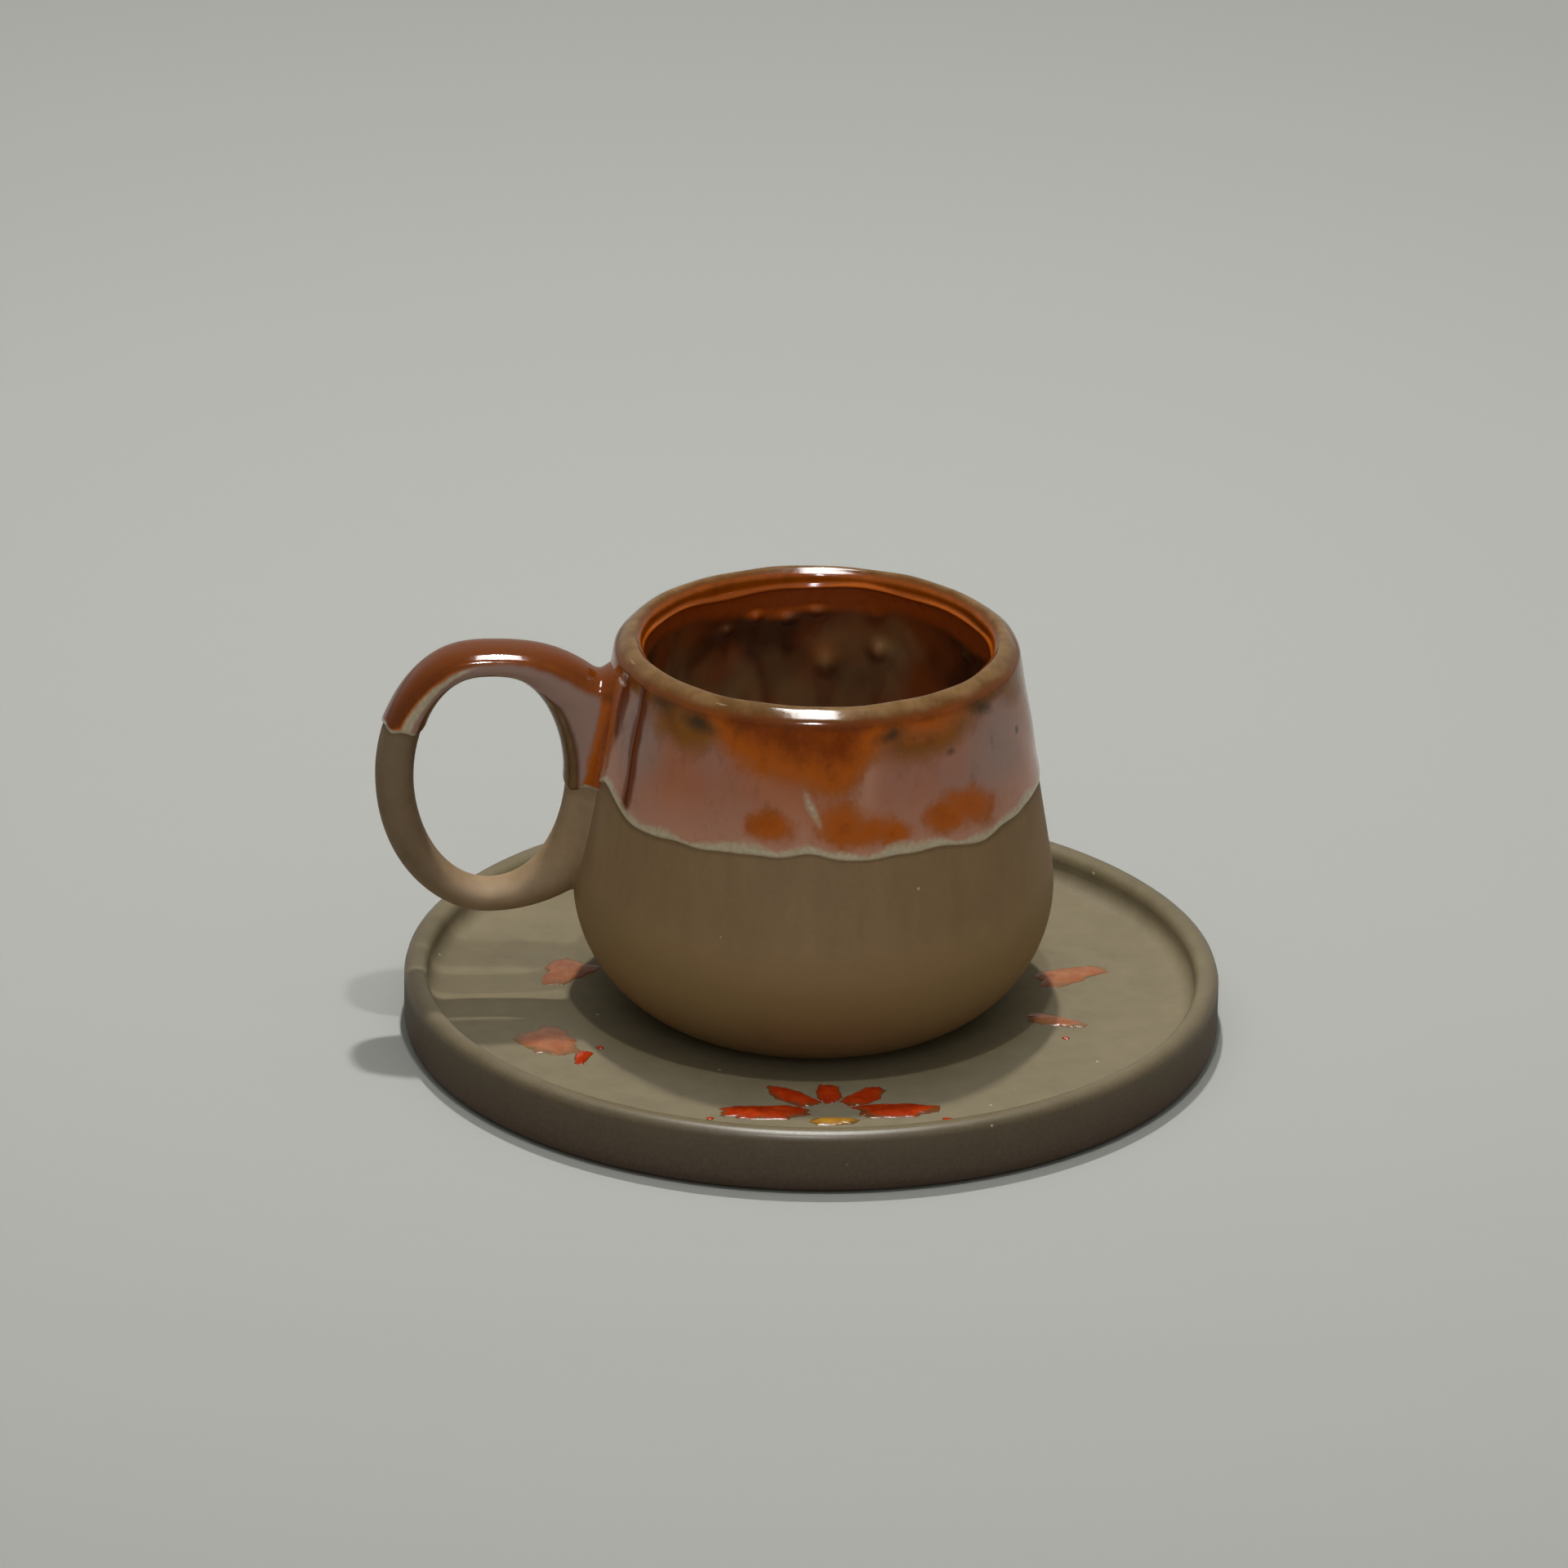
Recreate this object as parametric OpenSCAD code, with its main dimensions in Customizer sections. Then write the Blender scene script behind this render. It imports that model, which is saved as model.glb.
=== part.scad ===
// Turkish coffee cup and saucer in stoneware.
// A round-bellied cup with a luted ring handle stands loose on a flat saucer with a low upright rim.
// Millimetres, +Z up, origin at the centre of the saucer's underside, handle towards -X.

/* [Saucer] */
// Outer diameter of the saucer
saucer_d = 120; // [110:1:140]
// Height of the saucer's rim above the table
saucer_h = 9.6; // [8.8:0.1:12]
// Depth of the dish below the rim
dish_depth = 4.8; // [4:0.1:5.6]
// Thickness of the upright rim
rim_t = 3.4; // [3:0.1:5]
// Rounding of the rim's two upper edges
rim_round = 1.4; // [0.5:0.1:1.5]
// Fillet between the rim and the dish floor
dish_fillet = 2.4; // [1:0.1:2.5]
// Rounding of the outer bottom edge
saucer_base_round = 1; // [0.3:0.1:2]
// Width of the ring that the saucer stands on
stand_ring_w = 12; // [8:0.5:20]
// Depth of the hollow inside the standing ring
stand_hollow = 0.8; // [0.4:0.1:1.5]

/* [Cup] */
// Height of the clay cup, foot to lip
cup_h = 56.7; // [52:0.1:66]
// Radius of the belly at its widest
belly_r = 35.3; // [33:0.1:38]
// Height of the widest place above the foot
belly_z = 18.5; // [17:0.1:20]
// Diameter of the foot
foot_d = 47.2; // [40:0.2:54]
// Radius of the lip's crest
lip_crest_r = 27; // [25:0.1:29]
// Rounding of the lip's outer side
lip_out_round = 2.4; // [1.5:0.1:3.2]
// Rounding of the lip's inner side
lip_in_round = 1.1; // [0.6:0.1:1.8]
// Thickness of the cup's floor
cup_floor_t = 4.5; // [3.5:0.1:6]
// Radius of the curve from the inner wall to the cup's floor
bowl_curve_r = 14; // [10:0.5:15]
// Width of the foot ring
foot_ring_w = 4; // [2.5:0.1:6]
// Depth of the hollow inside the foot ring
foot_hollow = 0.9; // [0.4:0.1:1.5]

/* [Handle] */
// Clay left between the finger hole and the cup's wall
web_t = 4; // [3.5:0.1:6]
// Height of the finger hole's middle above the foot
hole_z = 36; // [34:0.1:38]
// Width of the finger hole
hole_w = 22.2; // [18:0.1:26]
// Height of the finger hole
hole_h = 33.8; // [28:0.1:36]
// Thickness of the strap at its outer side
strap_side_t = 5.6; // [4.5:0.1:8]
// Thickness of the strap at its top
strap_top_t = 4; // [3.5:0.1:6.5]
// Thickness of the strap at its bottom
strap_bottom_t = 4.8; // [4:0.1:6.5]
// Width of the strap, across the ring
strap_w = 8; // [6:0.1:11]
// Squareness of the strap's section, where 2 is an oval
strap_square = 2.5; // [2:0.1:3.5]
// How far the ring's outline runs on inside the cup's wall, where it is cut to seat
root_depth = 8; // [6:0.1:11]
// Reach of the luted fillet beside the wall
lute_reach = 3; // [1:0.1:5]
// How far the strap spreads on each side where it is luted on
lute_spread = 1.2; // [0:0.1:2.5]

/* [Glaze] */
// Thickness of the glaze coats
glaze_t = 0.3; // [0.2:0.05:0.6]
// Height of the dip line above the cup's foot
dip_z = 35.5; // [32:0.1:42]
// Rise and fall of the dip line
dip_wave = 1.1; // [0:0.1:2]
// Depth inside the lip at which the outer coat ends
wrap_depth = 3.2; // [2.2:0.1:6]
// Angle round the ring at which the handle's coat ends on the outer side
coat_start = 25; // [10:5:60]
// Thickness of the glaze dabs on the saucer
dab_t = 0.7; // [0.3:0.1:1.2]
// Distance from the dish floor's edge to the eye of the petals
petal_inset = 12; // [11:0.5:14]

/* [Hidden] */
$fn = 96;

clay = "#6b5740";
rust_glaze = "#9a4a1c";
liner_brown = "#4a2412";
steps_arc = 8;          // points along a rounded edge
steps_curve = 14;       // points along a long curve
steps_ring = 72;        // sections round the ring handle
steps_strap = 16;       // points round the strap's section
steps_dip = 72;         // points along the dip line

saucer_r = saucer_d / 2;
dish_z = saucer_h - dish_depth;
dish_wall_r = saucer_r - rim_t;
dish_floor_r = dish_wall_r - dish_fillet;

// Profile of the cup in (radius, height above the foot): the lower wall is an arc from the foot's edge that is
// upright at the belly, and the upper wall is tangent to that arc and to the lip
foot_r = foot_d / 2;
undercut = belly_r - foot_r;
base_curve_r = (undercut * undercut + belly_z * belly_z) / (2 * undercut);
base_c = [belly_r - base_curve_r, belly_z];
lip_out_c = [lip_crest_r, cup_h - lip_out_round];
lip_in_c = [lip_crest_r, cup_h - lip_in_round];
span = lip_out_c - base_c;
wall_lean = atan2(span[1], span[0]) - acos((base_curve_r - lip_out_round) / norm(span));
wall_n = [cos(wall_lean), sin(wall_lean)];
wall_d = base_c * wall_n + base_curve_r;
inner_d = lip_in_c * wall_n - lip_in_round;
bowl_cz = cup_floor_t + bowl_curve_r;
bowl_c = [(inner_d - bowl_curve_r - bowl_cz * wall_n[1]) / wall_n[0], bowl_cz];
foot_angle = -asin(belly_z / base_curve_r);
wrap_z = cup_h - wrap_depth;
coat_low_z = dip_z - 2 * dip_wave - 1;

// Brushed petals: where their eye lies round the dish, how they fan out, and their lengths
petal_angle = -90;
petal_first_angle = 92;
petal_step_angle = 44;
petal_long = [12, 8, 6.5, 9, 13];
petal_w = 4.2;
petal_eye_gap = 3.2;
eye_drop = 3.2;
eye_long = 7;
eye_w = 2.6;
// Broad dabs, from the front left round to the right: place round the dish, turn, distance in from the floor's
// edge, length and width
broad_angle = [-158, 166, 7, -18];
broad_turn_angle = [95, 70, 20, -8];
broad_inset = [11.5, 17.5, 15.5, 17.5];
broad_long = [10, 9.5, 11, 9];
broad_w = [8, 6.5, 5.5, 3.4];
// Small stroke beside the front left dab
stroke_angle = -148;
stroke_inset = 13;
stroke_long = 5;
stroke_w = 2.2;

hole_s = wall_r(hole_z) + web_t + hole_w / 2;
ring_out = hole_w / 2 + strap_side_t;
ring_in = hole_s - wall_r(hole_z) + root_depth;
ring_up = hole_h / 2 + strap_top_t;
ring_down = hole_h / 2 + strap_bottom_t;

function arc(c, r, a0, a1, n, skip = 0) =
    [for (i = [skip:n]) c + r * [cos(a0 + (a1 - a0) * i / n), sin(a0 + (a1 - a0) * i / n)]];
function backwards(list) = [for (i = [len(list) - 1:-1:0]) list[i]];
function wall_at(z, grow = 0) = [(wall_d - z * wall_n[1]) / wall_n[0], z] + grow * wall_n;
function inner_at(z, grow = 0) = [(inner_d - z * wall_n[1]) / wall_n[0], z] - grow * wall_n;

// Outer radius of the clay cup at a height above the foot
function wall_r(z) =
    z > base_c[1] + base_curve_r * wall_n[1] ? wall_at(z)[0]
    : base_c[0] + sqrt(base_curve_r * base_curve_r - (z - belly_z) * (z - belly_z));

// Outside of the cup from foot to crest, and inside from crest to floor, with the points where coats begin
function outside() = concat(arc(base_c, base_curve_r, foot_angle, wall_lean, steps_curve), [wall_at(coat_low_z)],
                            arc(lip_out_c, lip_out_round, wall_lean, 90, steps_arc));
function inside() = concat(arc(lip_in_c, lip_in_round, 90, 180 + wall_lean, steps_arc, 1), [inner_at(wrap_z)],
                           arc(bowl_c, bowl_curve_r, wall_lean, -90, steps_curve));
function lip_line(grow) = concat(arc(lip_out_c, lip_out_round + grow, wall_lean, 90, steps_arc),
                                 arc(lip_in_c, lip_in_round + grow, 90, 180 + wall_lean, steps_arc, 1));

// Dip line of the glaze: height above the foot at an angle round the cup
function dip(a) = dip_z + dip_wave * (0.6 * sin(7 * a + 130) + 0.4 * sin(4 * a + 260));

module revolved(profile) {
    rotate_extrude() polygon(profile);
}

module on_dish() {
    translate([0, 0, dish_z]) children();
}

// Saucer: flat floor, upright rim with rounded edges, and a hollow inside the standing ring
module saucer_body() {
    stand_in_r = saucer_r - saucer_base_round - stand_ring_w;
    profile = concat(
        [[0, stand_hollow], [stand_in_r - stand_hollow, stand_hollow], [stand_in_r, 0]],
        arc([saucer_r - saucer_base_round, saucer_base_round], saucer_base_round, -90, 0, steps_arc),
        arc([saucer_r - rim_round, saucer_h - rim_round], rim_round, 0, 90, steps_arc),
        arc([dish_wall_r + rim_round, saucer_h - rim_round], rim_round, 90, 180, steps_arc),
        arc([dish_floor_r, dish_z + dish_fillet], dish_fillet, 0, -90, steps_arc),
        [[0, dish_z]]);
    color(clay) revolved(profile);
}

// A dab of glaze is a low dome with a lobed outline, flat on the dish floor
module dab(length, width, lobes, depth) {
    sides = 24;
    rings = 3;
    base = [for (i = [0:sides - 1]) let (a = 360 * i / sides, k = 1 + depth * cos(lobes * a))
        [length / 2 * k * cos(a), width / 2 * k * sin(a)]];
    points = concat(
        [for (j = [0:rings - 1], p = base) let (u = 90 * j / rings) [p[0] * cos(u), p[1] * cos(u), dab_t * sin(u)]],
        [[0, 0, dab_t]]);
    faces = concat(
        [[for (i = [0:sides - 1]) i]],
        [for (j = [0:rings - 2], i = [0:sides - 1]) let (n = (i + 1) % sides, a = j * sides, b = a + sides)
            [a + i, b + i, b + n, a + n]],
        [for (i = [0:sides - 1]) let (top = (rings - 1) * sides) [top + i, rings * sides, top + (i + 1) % sides]]);
    on_dish() polyhedron(points, faces);
}

// Places a dab at an angle round the dish, a distance in from the floor's edge, turned about its own middle
module at_dish(angle, inset, turn) {
    rotate(angle) translate([dish_floor_r - inset, 0, 0]) rotate(turn) children();
}

// Five brushed petals fan out round a common eye near the front, with one stroke beside the left dab
module red_glaze_dabs() {
    color("#b5320f") {
        for (k = [0:len(petal_long) - 1])
            at_dish(petal_angle, petal_inset, petal_first_angle + petal_step_angle * k)
                translate([petal_eye_gap + petal_long[k] / 2, 0, 0])
                    dab(petal_long[k], petal_w, 2, 0.06);
        at_dish(stroke_angle, stroke_inset, 40) dab(stroke_long, stroke_w, 3, 0.08);
    }
}

// Broad pale dabs left and right of the cup
module salmon_glaze_dabs() {
    color("#b9694f")
        for (k = [0:len(broad_angle) - 1])
            at_dish(broad_angle[k], broad_inset[k], broad_turn_angle[k]) dab(broad_long[k], broad_w[k], 3, 0.14);
}

// Amber eye below the petals
module amber_glaze_dab() {
    color("#c07a22") at_dish(petal_angle, petal_inset - eye_drop, 90) dab(eye_long, eye_w, 3, 0.1);
}

// Cup: thrown body with an open bowl, a rounded lip and a hollow foot
module cup_body() {
    foot_in_r = foot_r - foot_ring_w;
    profile = concat(
        [[0, foot_hollow], [foot_in_r - foot_hollow, foot_hollow], [foot_in_r, 0]],
        outside(), inside(), [[0, cup_floor_t]]);
    color(clay) on_dish() revolved(profile);
}

// The cup's clay and hollow together, to seat the handle against the wall
module cup_envelope() {
    on_dish() revolved(concat([[0, 0]], outside(), [[0, cup_h]]));
}

// Strap section at an angle round the ring: the hole's oval inside, the outline's oval outside
function power(v, e) = sign(v) * pow(abs(v), e);
function hole_pt(a, grow) = [hole_s + (hole_w / 2 - grow) * cos(a), hole_z + (hole_h / 2 - grow) * sin(a)];
function ring_pt(a, grow) =
    [hole_s + ((cos(a) > 0 ? ring_out : ring_in) + grow) * cos(a),
     hole_z + ((sin(a) > 0 ? ring_up : ring_down) + grow) * sin(a)];
// Nearness to the wall, from 0 past the fillet's reach to 1 at the wall
function nearness(p) = let (gap = max(0, p[0] - wall_r(min(p[1], cup_h)))) pow(max(0, 1 - gap / lute_reach), 2);
function strap_section(a, grow) =
    let (inner = hole_pt(a, grow), edge = ring_pt(a, grow), way = (edge - inner) / norm(edge - inner),
         outer = edge + way * lute_reach * max(0, sin(a)) * nearness(edge),
         middle = (inner + outer) / 2, half_t = norm(outer - inner) / 2,
         half_w = strap_w / 2 + grow + lute_spread * nearness(middle))
    [for (j = [0:steps_strap - 1])
        let (t = 360 * j / steps_strap, u = half_t * power(cos(t), 2 / strap_square),
             v = half_w * power(sin(t), 2 / strap_square), p = middle + way * u)
        [-p[0], v, dish_z + p[1]]];

function quads(first, count, sides, closed, flip) =
    [for (i = [0:count - (closed ? 1 : 2)], j = [0:sides - 1])
        let (a = first + i * sides, b = first + ((i + 1) % count) * sides, n = (j + 1) % sides)
        flip ? [a + j, b + j, b + n, a + n] : [a + j, a + n, b + n, b + j]];

module ring_sweep(grow) {
    points = [for (i = [0:steps_ring - 1]) each strap_section(360 * i / steps_ring, grow)];
    polyhedron(points, quads(0, steps_ring, steps_strap, true, false));
}

// Handle: an oval ring of clay, cut to the cup's wall where it is luted on
module ring_handle() {
    color(clay) difference() {
        ring_sweep(0);
        cup_envelope();
    }
}

// Everything below the dip line, as a ring round the cup's wall
module below_dip() {
    low = coat_low_z - 2;
    near_r = lip_crest_r;
    far_r = belly_r + glaze_t + 2;
    points = [for (i = [0:steps_dip - 1]) let (a = 360 * i / steps_dip)
        each [for (p = [[near_r, low], [far_r, low], [far_r, dip(a)], [near_r, dip(a)]])
            [p[0] * cos(a), p[0] * sin(a), p[1]]]];
    on_dish() polyhedron(points, quads(0, steps_dip, 4, true, false));
}

// Outer coat: from the dip line up over the lip, parted round the handle
module outer_glaze() {
    profile = concat(
        [wall_at(coat_low_z)], lip_line(0), [inner_at(wrap_z)],
        [inner_at(wrap_z, glaze_t)], backwards(lip_line(glaze_t)), [wall_at(coat_low_z, glaze_t)]);
    color(rust_glaze) difference() {
        on_dish() revolved(profile);
        below_dip();
        ring_sweep(glaze_t);
    }
}

// Liner: the poured coat inside the bowl, meeting the outer coat below the lip
module liner_glaze() {
    bowl = concat([inner_at(wrap_z)], arc(bowl_c, bowl_curve_r, wall_lean, -90, steps_curve), [[0, cup_floor_t]]);
    skin = concat([inner_at(wrap_z, glaze_t)],
                  arc(bowl_c, bowl_curve_r - glaze_t, wall_lean, -90, steps_curve), [[0, cup_floor_t + glaze_t]]);
    color(liner_brown) on_dish() revolved(concat(bowl, backwards(skin)));
}

// Coat on the upper half of the ring, from the outer side over the top to the wall
module handle_glaze() {
    first = round(coat_start * steps_ring / 360);
    last = steps_ring / 2;
    count = last - first + 1;
    size = count * steps_strap;
    skins = [for (grow = [glaze_t, 0], i = [first:last]) each strap_section(360 * i / steps_ring, grow)];
    ends = [for (j = [0:steps_strap - 1]) let (n = (j + 1) % steps_strap, e = size - steps_strap)
        each [[j, size + j, size + n, n], [e + j, e + n, size + e + n, size + e + j]]];
    color(rust_glaze) difference() {
        polyhedron(skins, concat(quads(0, count, steps_strap, false, false),
                                 quads(size, count, steps_strap, false, true), ends));
        cup_envelope();
    }
}

saucer_body();
red_glaze_dabs();
salmon_glaze_dabs();
amber_glaze_dab();
cup_body();
ring_handle();
outer_glaze();
liner_glaze();
handle_glaze();
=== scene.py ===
"""Turkish coffee cup and saucer: thrown stoneware, dipped in a rust glaze that runs and breaks at edges.

The clay, the glaze coats and the glaze dabs are surfaces worked out with numpy, in millimetres, from
the frame.
"""
import math

import bpy
import numpy as np
from mathutils import Matrix, Vector


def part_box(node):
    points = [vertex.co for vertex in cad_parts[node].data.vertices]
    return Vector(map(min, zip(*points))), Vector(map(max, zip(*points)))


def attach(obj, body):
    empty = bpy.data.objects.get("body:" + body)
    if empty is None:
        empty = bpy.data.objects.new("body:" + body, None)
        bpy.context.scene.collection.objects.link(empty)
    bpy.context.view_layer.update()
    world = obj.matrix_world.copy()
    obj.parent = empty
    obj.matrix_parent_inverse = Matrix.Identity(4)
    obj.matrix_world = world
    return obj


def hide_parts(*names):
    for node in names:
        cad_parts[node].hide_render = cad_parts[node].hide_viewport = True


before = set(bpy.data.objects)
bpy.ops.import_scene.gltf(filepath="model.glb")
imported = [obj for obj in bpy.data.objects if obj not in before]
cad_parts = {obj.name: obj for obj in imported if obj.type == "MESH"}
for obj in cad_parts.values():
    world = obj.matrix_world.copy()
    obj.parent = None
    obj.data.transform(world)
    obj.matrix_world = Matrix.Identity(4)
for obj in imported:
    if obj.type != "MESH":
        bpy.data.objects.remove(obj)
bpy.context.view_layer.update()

MM = 0.001


def node_box(node):
    """Lowest and highest corner of a frame node, in millimetres."""
    low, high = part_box(node)
    return np.array(low) / MM, np.array(high) / MM


# Sizes taken from the frame
saucer_r, saucer_h = node_box("saucer_body")[1][[0, 2]]
cup_low, cup_high = node_box("cup_body")
dish_z = cup_low[2]
cup_h = cup_high[2] - dish_z
belly_r = cup_high[0]

# Saucer, in millimetres
rim_t = 3.4
rim_round = 1.4
dish_fillet = 2.4
base_round = 1.8
stand_ring_w = 12.0
stand_hollow = 0.8
edge_round = 0.3
dish_wall_r = saucer_r - rim_t
dish_floor_r = dish_wall_r - dish_fillet

# Cup, as radius and height above the foot
belly_z = 18.5
foot_r = 23.6
lip_crest_r = 27.0
lip_out_round = 2.4
lip_in_round = 1.1
cup_floor_t = 4.5
bowl_curve_r = 14.0
foot_ring_w = 4.0
foot_hollow = 0.9

# Handle: the ring lies in the XZ plane, and its distance from the cup's axis runs along -X
strap_side_t = 5.6
strap_top_t = 4.0
strap_bottom_t = 4.8
strap_w = 8.0
strap_square = 2.5
web_t = 4.0
hole_z = 36.0
hole_w = 22.2
hole_h = 33.8
root_depth = 8.0
lute_reach = 3.0
seat_depth = 1.5

# Glaze: its thickness, how deep the coats' backs lie in the clay, and where the dip and the wrap end
glaze_t = 0.3
liner_back = 0.35
dip_back = 0.65
dip_z = 35.5
wrap_depth = 3.2

# A coat's edge: the distance over which the bead behind it fades, and its slope into the clay outside
bead_fade = 1.6
edge_dive = 1.2
# Width of the rolled edge and height of its bead: along the dip, along the wrap and on the handle
dip_roll = (0.7, 0.18)
wrap_roll = (0.5, 0.1)
ring_roll = (0.8, 0.15)

# Fineness: steps along a profile in millimetres, columns round the axis or the strap, rows round the ring
saucer_step = 0.9
cup_step = 0.7
liner_step = 0.42
coat_line_step = 0.05
clay_columns = 240
coat_columns = 540
liner_columns = 400
strap_columns = 120
ring_rows = 288
ring_coat_rows = 260
# Every so many rows of a face have a row on the back
liner_back_stride = 6
ring_back_stride = 10

# The lower wall is an arc that is upright at the belly. The upper wall is tangent to it and to the lip.
undercut = belly_r - foot_r
base_curve_r = (undercut**2 + belly_z**2) / (2 * undercut)
base_c = np.array([belly_r - base_curve_r, belly_z])
lip_out_c = np.array([lip_crest_r, cup_h - lip_out_round])
lip_in_c = np.array([lip_crest_r, cup_h - lip_in_round])
span = lip_out_c - base_c
wall_lean = math.atan2(span[1], span[0]) - math.acos((base_curve_r - lip_out_round) / math.hypot(*span))
wall_n = np.array([math.cos(wall_lean), math.sin(wall_lean)])
lean_deg = math.degrees(wall_lean)
wall_d = base_c @ wall_n + base_curve_r
inner_d = lip_in_c @ wall_n - lip_in_round
bowl_cz = cup_floor_t + bowl_curve_r
bowl_c = np.array([(inner_d - bowl_curve_r - bowl_cz * wall_n[1]) / wall_n[0], bowl_cz])
foot_angle = -math.degrees(math.asin(belly_z / base_curve_r))
wrap_z = cup_h - wrap_depth


def polar(radius, angle):
    """Point at a radius and an angle in degrees."""
    return radius * np.array([math.cos(math.radians(angle)), math.sin(math.radians(angle))])


def arc(center, radius, start, end, count):
    """Points on a circle from one angle to another, in degrees."""
    a = np.radians(np.linspace(start, end, count))
    return np.stack([center[0] + radius * np.cos(a), center[1] + radius * np.sin(a)], -1)


def wall_r(z):
    """Outer radius of the cup at a height above the foot: the base arc, then the straight wall."""
    low = base_c[0] + np.sqrt(np.maximum(0, base_curve_r**2 - (z - belly_z) ** 2))
    high = (wall_d - z * wall_n[1]) / wall_n[0]
    return np.where(z > base_c[1] + base_curve_r * wall_n[1], high, low)


def lengths(line):
    """Distance gone along a polyline at each of its points."""
    return np.concatenate([[0], np.cumsum(np.hypot(*np.diff(line, axis=0).T))])


def resample(line, step):
    """A polyline's points again at even steps along its length."""
    gone = lengths(line)
    at = np.linspace(0, gone[-1], max(2, int(gone[-1] / step) + 1))
    return np.stack([np.interp(at, gone, line[:, k]) for k in (0, 1)], -1)


def line_normals(line):
    """Unit normals of a polyline, on the right of its run."""
    ahead = np.gradient(line, axis=0)
    return np.stack([ahead[:, 1], -ahead[:, 0]], -1) / np.hypot(*ahead.T)[:, None]


def smooth(low, high, value):
    """Smooth step from 0 at low to 1 at high."""
    t = np.clip((value - low) / (high - low), 0, 1)
    return t * t * (3 - 2 * t)


def bell(value, middle, half):
    """Bell curve exp(-d^2) of the distance d from its middle, in half-widths."""
    return np.exp(-(((value - middle) / half) ** 2))


def blunt(value, power):
    """Power of a value that keeps its sign."""
    return np.sign(value) * np.abs(value) ** power


def between(value, rows, period=None):
    """Straight lines between rows of place and height, read at a value."""
    at, height = np.array(rows).T
    return np.interp(value, at, height, period=period)


def turn_from(at, angle):
    """Turn from one angle to another, from -180 to 180 degrees."""
    return (angle - at + 180) % 360 - 180


def waves(angle, terms):
    """Sum of sine waves round the axis: a term is height, count round the turn and start in degrees."""
    return sum(h * np.sin(np.radians(n * angle + start)) for h, n, start in terms)


def bumps(angle, rows):
    """Sum of bells round the axis: a row is the place and half-width in degrees and the height."""
    return sum(h * bell(turn_from(at, angle), 0, half) for at, half, h in rows)


def patches(angle, height, radius, spots):
    """Soft field on a wall: each spot is a tilted oval, 1 at its middle, 0 at its edge, below 0 outside.

    A spot is its angle, its height, its half-width and half-height in millimetres and its tilt in
    degrees. The highest wins.
    """
    field = np.full(np.broadcast(angle, height).shape, -1.0)
    for at, up, half_w, half_h, tilt in spots:
        across = radius * np.radians(turn_from(at, angle))
        rise = height - up
        c, s = polar(1, tilt)
        away = np.hypot((across * c + rise * s) / half_w, (rise * c - across * s) / half_h)
        field = np.maximum(field, 1 - away)
    return field


def rolled_edge(e, width, bead):
    """Stand-off of a coat's face at a distance e in from its edge.

    It is T sqrt(1 - (1 - e/w)^2) in the first width w, with a bead behind it that fades, and it dives
    into the clay where e is below 0.
    """
    t = np.clip(e / width, 0, 1)
    face = glaze_t * np.sqrt(1 - (1 - t) ** 2) + bead * t * np.exp(-np.maximum(e, 0) / bead_fade)
    return np.where(e < 0, e * edge_dive, face)


def grid_quads(rows, columns, closed):
    """Corner numbers of the quads of a grid that closes round its columns, and round its rows if asked."""
    i = np.arange(rows if closed else rows - 1)[:, None]
    j = np.arange(columns)[None, :]
    below, above, on = i * columns, (i + 1) % rows * columns, (j + 1) % columns
    return np.stack([below + j, below + on, above + on, above + j], -1).reshape(-1, 4)


def make_piece(name, points, faces, material, body, nodes, fields):
    """Puts points in millimetres and arrays of faces into a smooth mesh that rides on a body.

    The piece replaces nodes of the frame. Each field is a value per point, kept as an attribute that the
    material reads.
    """
    mesh = bpy.data.meshes.new(name)
    mesh.from_pydata((points * MM).tolist(), [], sum((part.tolist() for part in faces), []))
    for key, values in fields.items():
        layer = mesh.attributes.new(key, "FLOAT", "POINT")
        layer.data.foreach_set("value", np.ascontiguousarray(values, np.float32).ravel())
    mesh.shade_smooth()
    mesh.materials.append(material)
    piece = bpy.data.objects.new(name, mesh)
    bpy.context.scene.collection.objects.link(piece)
    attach(piece, body)
    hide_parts(*nodes)


def turned(profile, columns):
    """Turns a profile about Z: x = r cos a, y = r sin a. The profile's ends lie on the axis, as poles.

    Returns the grid of points between the ends, its angles in degrees and the two poles.
    """
    angle = np.linspace(0, 360, columns, endpoint=False)[None, :]
    a = np.radians(angle)
    r, z = profile[1:-1, :1], profile[1:-1, 1:]
    grid = np.stack([r * np.cos(a), r * np.sin(a), z + 0 * a], -1)
    poles = np.array([[0, 0, profile[0, 1]], [0, 0, profile[-1, 1]]])
    return grid, angle, poles


def close_turned(grid, poles):
    """Points of a turned grid and its two poles, and its faces: the quads, then a fan round each pole."""
    rows, columns = grid.shape[:2]
    count = rows * columns
    top = count - columns
    j = np.arange(columns)
    on = (j + 1) % columns
    first_fan = np.stack([np.full(columns, count), on, j], -1)
    last_fan = np.stack([np.full(columns, count + 1), top + j, top + on], -1)
    points = np.concatenate([grid.reshape(-1, 3), poles])
    return points, [grid_quads(rows, columns, False), first_fan, last_fan]


# Materials

# Input sockets of a Mix node, and how the node mixes colours
FACTOR, FIRST, SECOND = 0, 6, 7
MIX = {"out": 2, "data_type": "RGBA"}
# A range that starts and ends softly
SOFT = {"interpolation_type": "SMOOTHSTEP"}


def srgb(code):
    """Linear colour of an sRGB hex value."""
    parts = [int(code[k:k + 2], 16) / 255 for k in (1, 3, 5)]
    return tuple(p / 12.92 if p <= 0.04045 else ((p + 0.055) / 1.055) ** 2.4 for p in parts) + (1.0,)


def per_mm(size):
    """Pattern scale for a feature of a size in millimetres, on Object coordinates in metres."""
    return 1 / (size * MM)


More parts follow.
